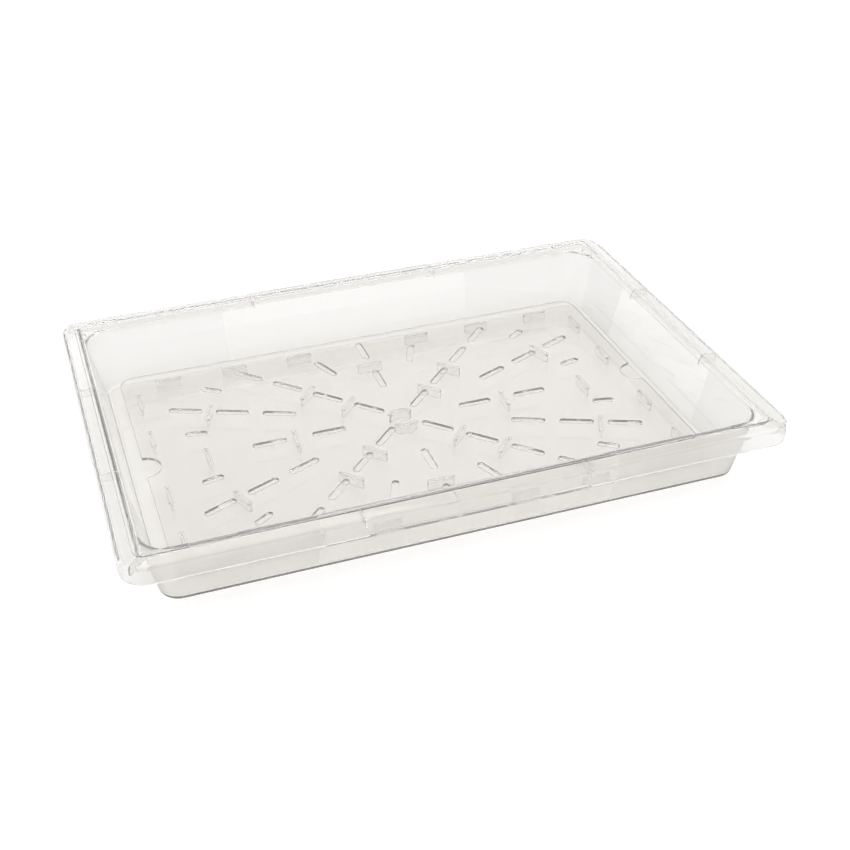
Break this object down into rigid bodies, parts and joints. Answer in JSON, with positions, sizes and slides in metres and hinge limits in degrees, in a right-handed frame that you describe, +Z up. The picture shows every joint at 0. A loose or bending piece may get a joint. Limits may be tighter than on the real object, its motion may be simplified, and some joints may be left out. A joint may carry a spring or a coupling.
{
  "type": "food storage box with drain shelf",
  "caption": "Shallow clear full-size food storage box with a rolled rim, and a slotted drain shelf on legs that lifts straight out of it.",
  "frame": {"origin": "middle of the box's flat underside", "axes": "+X along the long side, +Y along the short side, +Z up"},
  "size_m": [0.6604, 0.4572, 0.076],
  "materials": {
    "box_polycarbonate": "clear polycarbonate, polished, with a fine moulded texture beside the corners",
    "shelf_polycarbonate": "clear polycarbonate, polished"
  },
  "bodies": {
    "box": {"food_box": "box_polycarbonate"},
    "shelf": {"drain_shelf": "shelf_polycarbonate"}
  },
  "joints": [
    {"name": "shelf_lift", "type": "slide", "parent": "box", "child": "shelf", "axis": [0, 0, 1], "range_m": [0, 0.12]}
  ]
}
